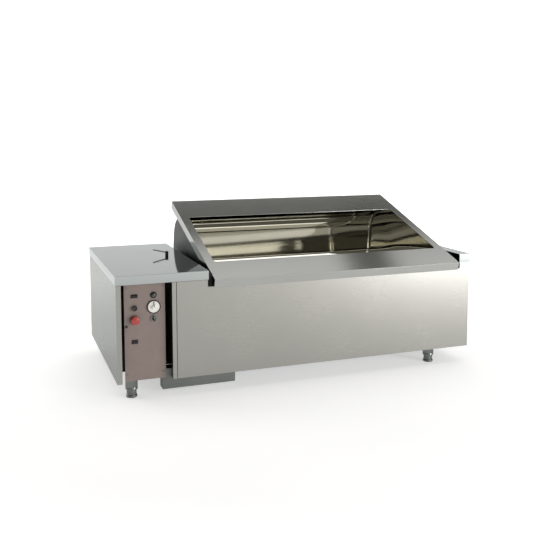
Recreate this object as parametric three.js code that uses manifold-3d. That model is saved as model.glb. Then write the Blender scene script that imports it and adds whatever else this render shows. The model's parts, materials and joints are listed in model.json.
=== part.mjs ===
// A floor-standing tilting water bath: a long stainless cabinet on short feet, a service side with
// the controls at its left, and a large tub that a gearmotor tips forward about a front shaft.
// Millimetres. X runs to the right along the front, Y to the back, Z up.
// Cabinet pieces are drawn from the cabinet's left front corner on the floor, and the pieces that
// tilt are drawn with the tub level. The last lines tip the tub and centre the whole on its base.
import * as THREE from "three";
import { mergeVertices } from "three/addons/utils/BufferGeometryUtils.js";
import Module from "manifold-3d";

const wasm = await Module();
wasm.setup();

// ---- Driving dimensions ----
const LENGTH = 1800;
const DEPTH = 900;
const TOP = 563; // worktop height
const FASCIA = 41; // turned-down edge of the worktops and of the tub's rim
const SKIRT = 82.5; // lowest edge of the casing panels
const SHEET = 2; // casing sheet
const FIT = 0.4; // gap left between neighbouring pieces
const TUCK = 0.5; // joined solids are drawn this far into each other, so that no faces coincide

const WORKTOP_LENGTH = 419;
const PARTITION = WORKTOP_LENGTH - SHEET - FIT; // right face of the panel beside the tub
const STRIP_START = 1736; // the narrow worktop at the right end
const SIDE_RETURN = 25; // the side panels' edges are folded in by this much
const BAY_END = 250; // right side of the open front bay that the control panel stands in
const PANEL_START = 271; // left edge of the long front panel
const POST_JOINT = 2.4; // open joint between the front post and the front panel
const PANEL_END = 1793;

const PIVOT = { y: 95, z: 432 }; // tilt shaft axis, with the tub level or tipped
const REST_TILT = THREE.MathUtils.degToRad(18);

const RIM = { left: 437, right: 1712, back: 897 };
const MOUTH = { left: 479, right: 1670, front: 170.5, back: 679 };
const TUB_WALL = 3;
const TUB_FLOOR = 163;
const TUB_SWEEP = 785; // inner radius of the back wall about the tilt axis
const SHOULDER = { radius: 130, distance: 655, angle: THREE.MathUtils.degToRad(-4.6) };
// The rim's side edges are relieved by this radius about the tilt axis, to pass the front panel.
const SIDE_NOTCH = { height: 58, relief: 113 };
const FRONT_FILLET = 60;
const BACK_FILLET = 90;

const FRAME_ANGLE = 30; // width of the frame's angle sections
const FRAME_WALL = 3;
const FRAME_TOP = 122;
const FOLD_START = FRAME_TOP + 4; // lowest point of the folds and plates that stand in the frame
const FOOT = {
  radius: 27.5, // outer sleeve
  padRadius: 25,
  padTop: 10,
  neckRadius: 22,
  neckTop: 36,
  stemRadius: 20,
  stemTop: 96,
};
const FEET = { left: 75, right: 1605, inset: 71 }; // axes, the inset from the front and the back
// The sump is a shallow front channel that opens into a deeper body at its right.
const SUMP = { left: 210, right: 551, front: 38.6, channelBack: 96, bodyLeft: 380, bottom: 27 };

const SHAFT = { radius: 24, bore: 18, start: 300, end: 1745 };
const GEAR_MODULE = 4;
const SECTOR_TEETH = 75; // teeth on the full circle; the sector holds part of them
const PINION_TEETH = 15;
const MESH_ANGLE = THREE.MathUtils.degToRad(-40); // direction from the shaft to the pinion
const SECTOR = { from: 330, to: 345, reach: 64, lead: 25 }; // reach and lead are degrees of rim

const CONTROL = { left: 43, right: 225, front: 36, top: 520 };
const COLUMN = { left: 88, right: 173.5 }; // the controls stand in two columns
const KEY_THROW = THREE.MathUtils.degToRad(8);
const ROW = { top: 464, middle: 411, lower: 358, tilt: 259 };

const LEVER = { x: 333, y: 483, rise: 16, tipRise: 33, length: 70, rod: 3, hub: 8, hubTop: 22 };
const VALVE_DEPTH = 50; // from the underside of the worktop to the valve's bore
const JACKET = { depth: 20, skin: 2 }; // insulated cover on each end of the tub
// The part of the shaft's boss that the jacket's arm does not reach straight from.
const ARM = { from: THREE.MathUtils.degToRad(100), to: THREE.MathUtils.degToRad(235) };

// ---- Finishes ----
const finishes = {
  satinSteel: [0xb9bbb8, 0.32, 0.95],
  polishedSteel: [0xc9cac8, 0.12, 1],
  dullSteel: [0x8c8f8d, 0.5, 0.9],
  darkSteel: [0x55565a, 0.55, 0.8],
  panelPaint: [0x82736c, 0.45, 0.3],
  blackPlastic: [0x161616, 0.4, 0],
  redPlastic: [0xb02a2a, 0.35, 0],
  whitePlastic: [0xece9e4, 0.4, 0],
  greenLens: [0x2f3a33, 0.15, 0],
  castGrey: [0x6d7377, 0.6, 0.5],
  brass: [0xb5924c, 0.35, 1],
  rubber: [0x1b1b1b, 0.9, 0],
};

// ---- Solids ----
const X_AXIS = new THREE.Vector3(1, 0, 0);
const Y_AXIS = new THREE.Vector3(0, 1, 0);
const Z_AXIS = new THREE.Vector3(0, 0, 1);

function extrude(shape, length, curveSegments) {
  return new THREE.ExtrudeGeometry(shape, { depth: length, bevelEnabled: false, curveSegments });
}

// An outline drawn in Y and Z, drawn out along X.
function prismX(shape, x0, x1, curveSegments = 10) {
  return extrude(shape, x1 - x0, curveSegments)
    .applyMatrix4(new THREE.Matrix4().makeBasis(Y_AXIS, Z_AXIS, X_AXIS))
    .translate(x0, 0, 0);
}

// An outline drawn in X and Z, drawn out along Y.
function prismY(shape, y0, y1, curveSegments = 10) {
  return extrude(shape, y1 - y0, curveSegments)
    .applyMatrix4(new THREE.Matrix4().makeBasis(X_AXIS, Z_AXIS, Y_AXIS.clone().negate()))
    .translate(0, y1, 0);
}

// An outline drawn in X and Y, drawn out along Z.
function prismZ(shape, z0, z1, curveSegments = 10) {
  return extrude(shape, z1 - z0, curveSegments).translate(0, 0, z0);
}

// A box whose corners are exactly the numbers given, so that neighbouring boxes join cleanly.
function box(x0, x1, y0, y1, z0, z1) {
  const geometry = new THREE.BoxGeometry(1, 1, 1);
  const corners = geometry.attributes.position;
  for (let i = 0; i < corners.count; i += 1) {
    corners.setXYZ(
      i,
      corners.getX(i) < 0 ? x0 : x1,
      corners.getY(i) < 0 ? y0 : y1,
      corners.getZ(i) < 0 ? z0 : z1,
    );
  }
  return geometry;
}

function disc(u, v, radius) {
  const shape = new THREE.Shape();
  shape.absarc(u, v, radius, 0, Math.PI * 2, false);
  return shape;
}

function rectangle(u0, u1, v0, v1, corner = 0) {
  const shape = new THREE.Shape();
  if (corner === 0) {
    shape.setFromPoints([
      new THREE.Vector2(u0, v0),
      new THREE.Vector2(u1, v0),
      new THREE.Vector2(u1, v1),
      new THREE.Vector2(u0, v1),
    ]);
    return shape;
  }
  shape.absarc(u1 - corner, v0 + corner, corner, -Math.PI / 2, 0, false);
  shape.absarc(u1 - corner, v1 - corner, corner, 0, Math.PI / 2, false);
  shape.absarc(u0 + corner, v1 - corner, corner, Math.PI / 2, Math.PI, false);
  shape.absarc(u0 + corner, v0 + corner, corner, Math.PI, Math.PI * 1.5, false);
  return shape;
}

function outline(points) {
  return new THREE.Shape(points.map(([u, v]) => new THREE.Vector2(u, v)));
}

function solidOf(geometry) {
  const bare = geometry.clone();
  bare.deleteAttribute("normal");
  bare.deleteAttribute("uv");
  const merged = mergeVertices(bare, 1e-4);
  return new wasm.Manifold(
    new wasm.Mesh({
      numProp: 3,
      vertProperties: merged.attributes.position.array,
      triVerts: new Uint32Array(merged.index.array),
    }),
  );
}

function geometryOf(solid) {
  const { vertProperties, triVerts } = solid.getMesh();
  return new THREE.BufferGeometry()
    .setAttribute("position", new THREE.BufferAttribute(vertProperties, 3))
    .setIndex(new THREE.BufferAttribute(triVerts, 1));
}

function join(...geometries) {
  return geometryOf(geometries.map(solidOf).reduce((a, b) => a.add(b)));
}

function cut(geometry, ...tools) {
  return geometryOf(tools.map(solidOf).reduce((a, b) => a.subtract(b), solidOf(geometry)));
}

// A sheet tray: a box hollowed from one side, which stays open.
function tray(x0, x1, y0, y1, z0, z1, wall, open) {
  const inside = {
    x0: x0 + wall,
    x1: x1 - wall,
    y0: y0 + wall,
    y1: y1 - wall,
    z0: z0 + wall,
    z1: z1 - wall,
  };
  inside[open] += open.endsWith("1") ? 2 * wall : -2 * wall;
  const hollow = box(inside.x0, inside.x1, inside.y0, inside.y1, inside.z0, inside.z1);
  return cut(box(x0, x1, y0, y1, z0, z1), hollow);
}

// ---- Scene graph ----
const bath = new THREE.Group();
const cabinet = new THREE.Group();
const tilting = new THREE.Group();
const level = new THREE.Group();
bath.add(cabinet, tilting);
tilting.add(level);
tilting.position.set(0, PIVOT.y, PIVOT.z);
tilting.rotation.x = REST_TILT;
level.position.set(0, -PIVOT.y, -PIVOT.z);

function place(group, name, finish, geometry) {
  const [color, roughness, metalness] = finishes[finish];
  const material = new THREE.MeshStandardMaterial({ color, roughness, metalness });
  const mesh = new THREE.Mesh(geometry, material);
  mesh.name = name;
  group.add(mesh);
}

// ---- Frame, floor and feet ----
function addFrame() {
  const bottom = SKIRT + SHEET;
  const inset = SHEET + FIT + 1;
  const angle = (inner, outer) => {
    const web = inner + Math.sign(outer - inner) * FRAME_WALL;
    return outline([
      [inner, bottom],
      [outer, bottom],
      [outer, bottom + FRAME_WALL],
      [web, bottom + FRAME_WALL],
      [web, FRAME_TOP],
      [inner, FRAME_TOP],
    ]);
  };
  const front = inset;
  const back = DEPTH - inset - SHEET - FIT;
  const sides = { left: inset + 2, right: PANEL_END - inset };
  const rails = {
    front_rail: prismX(angle(front, front + FRAME_ANGLE), PANEL_START, sides.right),
    back_rail: prismX(angle(back, back - FRAME_ANGLE), sides.left, sides.right),
  };
  for (const [name, geometry] of Object.entries(rails)) {
    place(cabinet, name, "dullSteel", geometry);
  }

  const floor = [FRAME_TOP + FIT, FRAME_TOP + FIT + SHEET];
  const floorBack = back - FRAME_WALL;
  const behindControls = CONTROL.front + 18;
  const serviceFloor = outline([
    [sides.left, behindControls],
    [SUMP.left - FIT, behindControls],
    [SUMP.left - FIT, SUMP.channelBack + FIT],
    [SUMP.bodyLeft - FIT, SUMP.channelBack + FIT],
    [SUMP.bodyLeft - FIT, floorBack],
    [sides.left, floorBack],
  ]);
  place(cabinet, "service_floor", "dullSteel", prismZ(serviceFloor, ...floor));
  place(
    cabinet,
    "well_floor",
    "dullSteel",
    box(SUMP.right + FIT, sides.right, front + FRAME_WALL, floorBack, ...floor),
  );
}

function addFeet() {
  const sleeveFoot = FOOT.neckTop + 0.5;
  const corners = {
    front_left: [FEET.left, FEET.inset],
    front_right: [FEET.right, FEET.inset],
    back_left: [FEET.left, DEPTH - FEET.inset],
    back_right: [FEET.right, DEPTH - FEET.inset],
  };
  for (const [corner, [x, y]] of Object.entries(corners)) {
    const sleeve = cut(
      prismZ(disc(x, y, FOOT.radius), sleeveFoot, FRAME_TOP, 14),
      prismZ(disc(x, y, FOOT.stemRadius + 0.6), sleeveFoot - 1, FRAME_TOP - 8, 14),
    );
    place(cabinet, `foot_sleeve_${corner}`, "satinSteel", sleeve);
    const profile = [
      [0, 0],
      [FOOT.padRadius - 3, 0],
      [FOOT.padRadius - 1, 1.5],
      [FOOT.padRadius, 4],
      [FOOT.padRadius, FOOT.padTop],
      [FOOT.neckRadius, FOOT.padTop + 4],
      [FOOT.neckRadius, FOOT.neckTop],
      [FOOT.stemRadius, FOOT.neckTop],
      [FOOT.stemRadius, FOOT.stemTop],
      [0, FOOT.stemTop],
    ].map(([r, z]) => new THREE.Vector2(r, z));
    const foot = new THREE.LatheGeometry(profile, 28).rotateX(Math.PI / 2).translate(x, y, 0);
    place(cabinet, `foot_adjuster_${corner}`, "dullSteel", foot);
  }
}

// ---- Casing ----
function addCasing() {
  const under = TOP - FASCIA - FIT; // just below the worktop's turned-down edge
  const inner = SHEET + FIT; // a panel stands this far inside the worktop's outline

  const back = { outer: DEPTH - inner, inner: DEPTH - inner - SHEET };
  const leftPanel = outline([
    [inner, 0],
    [SIDE_RETURN, 0],
    [SIDE_RETURN, SHEET],
    [inner + SHEET, SHEET],
    [inner + SHEET, back.inner],
    [SIDE_RETURN, back.inner],
    [SIDE_RETURN, back.outer],
    [inner, back.outer],
  ]);
  place(cabinet, "left_side_panel", "satinSteel", prismZ(leftPanel, SKIRT, under));

  const rightPanel = outline([
    [PANEL_END - SHEET, SHEET + FIT],
    [PANEL_END, SHEET + FIT],
    [PANEL_END, back.outer],
    [PANEL_END - SIDE_RETURN, back.outer],
    [PANEL_END - SIDE_RETURN, back.inner],
    [PANEL_END - SHEET, back.inner],
  ]);
  place(cabinet, "right_side_panel", "satinSteel", prismZ(rightPanel, SKIRT, under));

  // The front panel is lower under the tub's rim, and lower again where the rim's side edges pass.
  const rimNotch = under - 16;
  const sideNotch = PIVOT.z + SIDE_NOTCH.height;
  const leftNotch = { start: WORKTOP_LENGTH - 5, end: RIM.left + 4 };
  const rightNotch = { start: RIM.right - 4, end: STRIP_START + 2 };
  const fold = 18;
  const sheetOutline = outline([
    [PANEL_START, SKIRT],
    [PANEL_END, SKIRT],
    [PANEL_END, under],
    [rightNotch.end, under],
    [rightNotch.end, sideNotch],
    [rightNotch.start, sideNotch],
    [rightNotch.start, rimNotch],
    [leftNotch.end, rimNotch],
    [leftNotch.end, sideNotch],
    [leftNotch.start, sideNotch],
    [leftNotch.start, under],
    [PANEL_START, under],
  ]);
  const foldFrom = SHEET - TUCK;
  const topEdge = rimNotch - TUCK;
  const leftEdge = PANEL_START + TUCK;
  const frontPanel = join(
    prismY(sheetOutline, 0, SHEET),
    box(leftNotch.end + TUCK, rightNotch.start - TUCK, foldFrom, fold, topEdge - SHEET, topEdge),
    box(leftEdge, leftEdge + SHEET, foldFrom, fold, FOLD_START, under - TUCK),
  );
  place(cabinet, "front_panel", "satinSteel", frontPanel);

  const frontPost = outline([
    [BAY_END, 0],
    [PANEL_START - POST_JOINT, 0],
    [PANEL_START - POST_JOINT, SHEET],
    [BAY_END + SHEET, SHEET],
    [BAY_END + SHEET, SUMP.front - FIT],
    [BAY_END, SUMP.front - FIT],
  ]);
  // Above the sump the post's inner side goes further back, and closes off the bay.
  const bayWall = box(
    BAY_END + TUCK,
    BAY_END + TUCK + SHEET,
    SUMP.front - FIT - TUCK,
    165,
    FOLD_START,
    under - TUCK,
  );
  const post = join(prismZ(frontPost, SKIRT, under), bayWall);
  place(cabinet, "front_post", "satinSteel", post);

  const backPanel = box(
    SIDE_RETURN + FIT,
    PANEL_END - SIDE_RETURN - FIT,
    back.inner,
    back.outer,
    SKIRT,
    rimNotch,
  );
  place(cabinet, "back_panel", "satinSteel", backPanel);

  const partition = cut(
    box(
      PARTITION - SHEET,
      PARTITION,
      SHEET + fold,
      back.inner - FIT,
      FOLD_START,
      TOP - SHEET - 4,
    ),
    prismX(disc(PIVOT.y, PIVOT.z, SHAFT.radius + 8), PARTITION - 10, PARTITION + 10),
  );
  place(cabinet, "partition_panel", "dullSteel", partition);

  const leftTop = cut(
    tray(0, WORKTOP_LENGTH, 0, DEPTH, TOP - FASCIA, TOP, SHEET, "z0"),
    prismZ(disc(LEVER.x, LEVER.y, LEVER.hub + 0.6), TOP - 10, TOP + 10),
  );
  place(cabinet, "left_worktop", "polishedSteel", leftTop);
  const rightTop = tray(STRIP_START, LENGTH, 0, DEPTH, TOP - FASCIA, TOP, SHEET, "z0");
  place(cabinet, "right_worktop", "polishedSteel", rightTop);

  const sumpOutline = (inset) =>
    outline([
      [SUMP.left + inset, SUMP.front + inset],
      [SUMP.right - inset, SUMP.front + inset],
      [SUMP.right - inset, DEPTH - SUMP.front - inset],
      [SUMP.bodyLeft + inset, DEPTH - SUMP.front - inset],
      [SUMP.bodyLeft + inset, SUMP.channelBack - inset],
      [SUMP.left + inset, SUMP.channelBack - inset],
    ]);
  const sump = cut(
    prismZ(sumpOutline(0), SUMP.bottom, FRAME_TOP),
    prismZ(sumpOutline(SHEET), SUMP.bottom + SHEET, FRAME_TOP + 10),
  );
  place(cabinet, "sump_box", "dullSteel", sump);

  // A rubber buffer beside the rim's front corner, where the worktop ends.
  const buffer = prismY(
    rectangle(WORKTOP_LENGTH + FIT, RIM.left - 2, sideNotch + FIT, TOP - 12, 3),
    3,
    SHEET + fold,
    4,
  );
  place(cabinet, "rim_buffer", "rubber", buffer);
}

// ---- Controls ----
function addControls() {
  const { front } = CONTROL;
  const faceBack = front + SHEET;
  const rear = faceBack + FIT;
  const rocker = { width: 30, height: 17 };
  const tiltKey = { width: 28, height: 18 };
  const spigot = { lamp: 8.2, push: 8.2, stop: 11, selector: 11, dial: 8 };
  const round = {
    lamp: [COLUMN.right, ROW.top],
    push: [COLUMN.left, ROW.middle],
    dial: [COLUMN.right, ROW.middle],
    stop: [COLUMN.left, ROW.lower],
    selector: [COLUMN.right, ROW.lower],
  };
  // The outline of a key's frame, drawn smaller by the two insets.
  const keyOutline = (x, z, key, sideInset, endInset = sideInset) => {
    const half = { w: key.width / 2 - sideInset, h: key.height / 2 - endInset };
    return rectangle(x - half.w, x + half.w, z - half.h, z + half.h);
  };
  const keys = { power: [COLUMN.left, ROW.top, rocker], tilt: [COLUMN.left, ROW.tilt, tiltKey] };

  const holes = Object.entries(round).map(([name, [x, z]]) =>
    prismY(disc(x, z, spigot[name] + FIT), front - 5, faceBack + 5),
  );
  const slots = Object.values(keys).map(([x, z, key]) =>
    prismY(keyOutline(x, z, key, 1), front - 5, faceBack + 5),
  );
  const fold = [front + 1, front + 16, FOLD_START, CONTROL.top - TUCK];
  const plate = cut(
    join(
      box(CONTROL.left, CONTROL.right, front, faceBack, SKIRT, CONTROL.top),
      box(CONTROL.left + TUCK, CONTROL.left + TUCK + SHEET, ...fold),
      box(CONTROL.right - TUCK - SHEET, CONTROL.right - TUCK, ...fold),
    ),
    ...holes,
    ...slots,
  );
  place(cabinet, "control_panel", "panelPaint", plate);

  const enclosure = tray(
    CONTROL.left + 6,
    CONTROL.right - 6,
    rear,
    rear + 120,
    ROW.tilt - 30,
    ROW.top + 40,
    SHEET,
    "y0",
  );
  place(cabinet, "control_enclosure", "dullSteel", enclosure);

  // Each round control sits in a collar that passes through the panel.
  const collar = (name, flange, lip, bore, finish) => {
    const [x, z] = round[name];
    return [
      `${name}_collar`,
      finish,
      cut(
        join(
          prismY(disc(x, z, flange), front - lip, front - FIT),
          prismY(disc(x, z, spigot[name]), front - FIT - 1, front + 30),
        ),
        prismY(disc(x, z, bore), front - lip - 5, front + 35),
      ),
    ];
  };
  const stopCollar = collar("stop", 18, 3.5, 6.4, "blackPlastic");
  const selectorCollar = collar("selector", 15, 5, 8.4, "satinSteel");
  for (const [name, finish, geometry] of [stopCollar, selectorCollar]) {
    place(cabinet, name, finish, geometry);
  }

  const turned = (name, points, finish, nodeName, segments = 24) => {
    const [x, z] = round[name];
    const profile = points.map(([r, out]) => new THREE.Vector2(r, out));
    const lathe = new THREE.LatheGeometry(profile, segments);
    place(cabinet, nodeName, finish, lathe.rotateX(Math.PI).translate(x, front, z));
  };
  // Profiles run from the shank behind the panel to the face in front of it.
  turned(
    "lamp",
    [[0, -25], [8, -25], [8, FIT], [15, FIT], [15, 3], [12, 5], [10, 8], [6, 10], [0, 10.8]],
    "greenLens",
    "pilot_lamp",
  );
  turned(
    "push",
    [[0, -25], [8, -25], [8, 6], [12, 6], [12, 11], [11, 12], [0, 12]],
    "blackPlastic",
    "push_button",
  );
  turned(
    "stop",
    [[0, -25], [6, -25], [6, 10], [14, 10], [19, 13], [20, 16], [18.5, 19.5], [14, 21.5], [0, 22.5]],
    "redPlastic",
    "stop_button",
  );

  const [dialX, dialZ] = round.dial;
  const bezel = cut(
    prismY(disc(dialX, dialZ, 30.5), front - 7, front - FIT, 16),
    prismY(disc(dialX, dialZ, 27), front - 10, front - 3, 16),
    prismY(disc(dialX, dialZ, spigot.dial), front - 10, front + 5),
  );
  place(cabinet, "dial_bezel", "blackPlastic", bezel);
  turned(
    "dial",
    [[0, -20], [5, -20], [5, 3.5], [26, 3.5], [26, 6.5], [9, 7.5], [8, 16], [6.5, 17.5], [0, 17.5]],
    "whitePlastic",
    "thermostat_dial",
    32,
  );

  const [selectorX, selectorZ] = round.selector;
  const grip = rectangle(selectorX - 3.5, selectorX + 3.5, selectorZ - 10, selectorZ + 10, 2);
  const selector = join(
    prismY(disc(selectorX, selectorZ, 8), front - 7, front + 25),
    prismY(grip, front - 17, front - 6),
  );
  place(cabinet, "selector_switch", "blackPlastic", selector);

  // A rocker key in its own frame: a wedge-backed paddle on a cross pin.
  for (const [name, [x, z, key]] of Object.entries(keys)) {
    const frame = cut(
      join(
        prismY(keyOutline(x, z, key, 0), front - 3, front - FIT),
        prismY(keyOutline(x, z, key, 2), front - 1, front + 20),
      ),
      prismY(keyOutline(x, z, key, 3.5, 3), front - 5, front + 18),
    );
    place(cabinet, `${name}_key_frame`, "blackPlastic", frame);
    const reach = key.height / 2 - 4;
    const paddle = outline([
      [front - 4, z - reach],
      [front - 5.5, z - reach],
      [front - 3.5, z],
      [front - 5.5, z + reach],
      [front - 4, z + reach],
      [front + 4, z + 1.8],
      [front + 4, z - 1.8],
    ]);
    // The power key rests pushed over to off; the tilt key springs back to its middle.
    const pushed = name === "power" ? KEY_THROW : 0;
    const side = key.width / 2 - 4.5;
    const rocker3d = prismX(paddle, x - side, x + side)
      .translate(0, -front, -z)
      .rotateX(pushed)
      .translate(0, front, z);
    place(cabinet, `${name}_key`, "blackPlastic", rocker3d);
  }

  // The quarter-turn latch that holds the panel's left edge.
  const latch = join(
    prismY(disc(CONTROL.left + 9, 330, 6), front - 4, front - FIT),
    prismY(rectangle(CONTROL.left + 7.8, CONTROL.left + 10.2, 325, 335), front - 6, front - 3),
  );
  place(cabinet, "panel_latch", "blackPlastic", latch);
}

// ---- Water and mains connections ----
function addServices() {
  const { x, y } = LEVER;
  const underTop = TOP - SHEET;
  const pipeZ = underTop - VALVE_DEPTH;
  const valve = cut(
    join(
      prismZ(disc(x, y, 16), pipeZ + 14, underTop - FIT),
      prismY(disc(x, pipeZ, 19), y - 30, y + 30),
      prismZ(disc(x, y, 17), pipeZ - 14, pipeZ + 14),
    ),
    prismY(disc(x, pipeZ, 10), y - 40, y + 40),
    prismZ(disc(x, y, 5.4), pipeZ + 20, TOP + 1),
  );
  place(cabinet, "fill_valve", "brass", valve);

  const hub = cut(
    join(
      prismZ(disc(x, y, LEVER.hub), underTop, TOP + LEVER.hubTop),
      prismZ(disc(x, y, 5), underTop - 28, TOP + 1),
    ),
    leverRod(LEVER.rod + 0.3, 2),
  );
  place(cabinet, "lever_hub", "blackPlastic", hub);
  place(cabinet, "lever_rod", "polishedSteel", leverRod(LEVER.rod, 0));

  // The pipe runs from the valve forward and down to the rotary union on the tilt shaft.
  const route = new THREE.CatmullRomCurve3(
    [
      [x, y - 31, pipeZ],
      [x, y - 60, pipeZ],
      [x - 5, y - 130, pipeZ - 2],
      [x - 30, PIVOT.y + 150, PIVOT.z + 40],
      [x - 46, PIVOT.y + 70, PIVOT.z + 8],
      [x - 46, PIVOT.y + 36, PIVOT.z],
    ].map((p) => new THREE.Vector3(...p)),
  );
  const pipe = new THREE.ExtrudeGeometry(disc(0, 0, 9), {
    steps: 24,
    extrudePath: route,
    curveSegments: 5,
  });
  place(cabinet, "fill_pipe", "satinSteel", pipe);

  const union = cut(
    join(
      prismX(disc(PIVOT.y, PIVOT.z, 30), SHAFT.start - 30, SHAFT.start + 14),
      prismY(disc(SHAFT.start - 13, PIVOT.z, 14), PIVOT.y, PIVOT.y + 33),
    ),
    prismX(disc(PIVOT.y, PIVOT.z, SHAFT.radius + 0.6), SHAFT.start - 1, SHAFT.start + 20),
    prismX(disc(PIVOT.y, PIVOT.z, 10), SHAFT.start - 24, SHAFT.start),
    prismY(disc(SHAFT.start - 13, PIVOT.z, 8), PIVOT.y, PIVOT.y + 40),
  );
  place(cabinet, "rotary_union", "brass", union);

  // Inlets hang from the service floor, behind the controls.
  const inletY = DEPTH - 110;
  const floorTop = FRAME_TOP + FIT + SHEET;
  const inlet = (px, radius, hex, bore) =>
    cut(
      join(
        prismZ(disc(px, inletY, radius), floorTop + FIT - 40, floorTop + 30),
        prismZ(disc(px, inletY, hex), floorTop + FIT, floorTop + 14, 3),
      ),
      prismZ(disc(px, inletY, bore), floorTop - 60, floorTop + 40),
    );
  place(cabinet, "water_inlet", "brass", inlet(130, 10, 18, 7));
  place(cabinet, "cable_gland", "blackPlastic", inlet(170, 9, 15, 6));
  return [
    prismZ(disc(130, inletY, 10.6), 0, TOP),
    prismZ(disc(170, inletY, 9.6), 0, TOP),
  ];
}

// The lever's rod as a slim straight bar that rises away from the hub.
function leverRod(radius, overrun) {
  const slope = Math.atan2(LEVER.tipRise - LEVER.rise, LEVER.length);
  const inner = 4 - overrun;
  const length = LEVER.length / Math.cos(slope) - inner;
  return new THREE.CylinderGeometry(radius, radius, length, 16)
    .rotateZ(Math.PI / 2)
    .translate(-length / 2 - inner, 0, 0)
    .rotateY(slope)
    .translate(LEVER.x, LEVER.y, TOP + LEVER.rise);
}

// ---- Gears ----
function polar(radius, angle) {
  return new THREE.Vector2(radius * Math.cos(angle), radius * Math.sin(angle));
}

// Involute teeth, counted round the outline from tooth `first`, with one tooth centred on `phase`.
function gearTeeth(teeth, first, count, phase) {
  const pressure = THREE.MathUtils.degToRad(20);
  const backlash = 0.35;
  const pitch = (GEAR_MODULE * teeth) / 2;
  const base = pitch * Math.cos(pressure);
  const root = pitch - 1.25 * GEAR_MODULE;
  const tip = pitch + 0.9 * GEAR_MODULE;
  const involute = (angle) => Math.tan(angle) - angle;
  const halfAtPitch = ((Math.PI * GEAR_MODULE) / 2 - backlash) / (2 * pitch);
  const halfAt = (radius) =>
    halfAtPitch + involute(pressure) - involute(Math.acos(Math.min(1, base / radius)));
  const start = Math.max(base, root);
  const flankSteps = 4;
  const radii = [root];
  for (let i = 0; i <= flankSteps; i += 1) {
    radii.push(start + ((tip - start) * i) / flankSteps);
  }
  const points = [];
  for (let tooth = first; tooth < first + count; tooth += 1) {
    const centre = phase + (tooth * 2 * Math.PI) / teeth;
    const flank = (side) => (radius) => polar(radius, centre + side * halfAt(Math.max(radius, base)));
    points.push(...radii.map(flank(-1)), ...[...radii].reverse().map(flank(1)));
  }
  return points;
}

function shapeAt(points, y, z) {
  return new THREE.Shape(points.map((p) => new THREE.Vector2(p.x + y, p.y + z)));
}

function addDrive() {
  const distance = (GEAR_MODULE * (SECTOR_TEETH + PINION_TEETH)) / 2;
  const axle = {
    y: PIVOT.y + distance * Math.cos(MESH_ANGLE),
    z: PIVOT.z + distance * Math.sin(MESH_ANGLE),
  };
  const phase = MESH_ANGLE + Math.PI + Math.PI / PINION_TEETH;
  const teeth = shapeAt(gearTeeth(PINION_TEETH, 0, PINION_TEETH, phase), axle.y, axle.z);
  const pinion = join(
    prismX(teeth, SECTOR.from - 4, SECTOR.to + 4),
    prismX(disc(axle.y, axle.z, 10), 262, SECTOR.from - 3, 8),
  );
  place(cabinet, "drive_pinion", "darkSteel", pinion);

  const gearboxRight = SECTOR.from - 8;
  const gearbox = cut(
    prismX(rectangle(axle.y - 46, axle.y + 46, axle.z - 44, axle.z + 48, 10), 250, gearboxRight, 5),
    prismX(disc(axle.y, axle.z, 10.6), 258, gearboxRight + 5, 8),
  );
  place(cabinet, "gearbox", "castGrey", gearbox);

  const motorX = (250 + gearboxRight) / 2;
  const motorFront = axle.y + 46 + FIT;
  const motor = join(
    prismY(disc(motorX, axle.z, 34), motorFront, motorFront + 40),
    prismY(disc(motorX, axle.z, 43), motorFront + 20, motorFront + 170),
    prismY(disc(motorX, axle.z, 38), motorFront + 165, motorFront + 200),
    box(motorX - 28, motorX + 28, motorFront + 60, motorFront + 130, axle.z + 30, axle.z + 68),
  );
  place(cabinet, "tilt_motor", "castGrey", motor);

  const shelfTop = axle.z - 44 - FIT;
  const shelf = outline([
    [axle.y - 56, shelfTop],
    [axle.y - 56, shelfTop - 40],
    [axle.y - 52, shelfTop - 40],
    [axle.y - 52, shelfTop - 4],
    [motorFront + 180, shelfTop - 4],
    [motorFront + 180, shelfTop],
  ]);
  place(cabinet, "drive_shelf", "dullSteel", prismX(shelf, 244, PARTITION - SHEET - FIT));
}

// ---- Bearings ----
function addBearings() {
  const flange = rectangle(PIVOT.y - 44, PIVOT.y + 44, PIVOT.z - 44, PIVOT.z + 44, 12);
  const flangeBearing = (x0, x1) =>
    cut(
      join(
        prismX(flange, x0, x0 + 12, 5),
        prismX(disc(PIVOT.y, PIVOT.z, 38), x0 + 6, x1),
      ),
      prismX(disc(PIVOT.y, PIVOT.z, SHAFT.radius + 0.6), x0 - 5, x1 + 5),
    );
  const leftStart = WORKTOP_LENGTH - SHEET;
  place(cabinet, "left_bearing", "castGrey", flangeBearing(leftStart, leftStart + 29));

  // The right bearing is the same pattern, turned to face the other way on its stand.
  const standX = RIM.right + 36;
  const right = flangeBearing(0, 30 - FIT).scale(-1, 1, 1).translate(standX - FIT, 0, 0);
  place(cabinet, "right_bearing", "castGrey", flipped(right));
  const stand = cut(
    join(
      box(standX, standX + 4, 25, 175, FOLD_START, PIVOT.z + 55),
      box(standX + 3, standX + 30, 25 + TUCK, 175 - TUCK, FOLD_START + TUCK, FOLD_START + 4 + TUCK),
    ),
    prismX(disc(PIVOT.y, PIVOT.z, SHAFT.radius + 8), standX - 5, standX + 10),
  );
  place(cabinet, "right_bearing_stand", "dullSteel", stand);
}

// Turns the faces of a mirrored geometry outwards again.
function flipped(geometry) {
  const index = geometry.index.array;
  for (let i = 0; i < index.length; i += 3) {
    [index[i + 1], index[i + 2]] = [index[i + 2], index[i + 1]];
  }
  return geometry;
}

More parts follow.
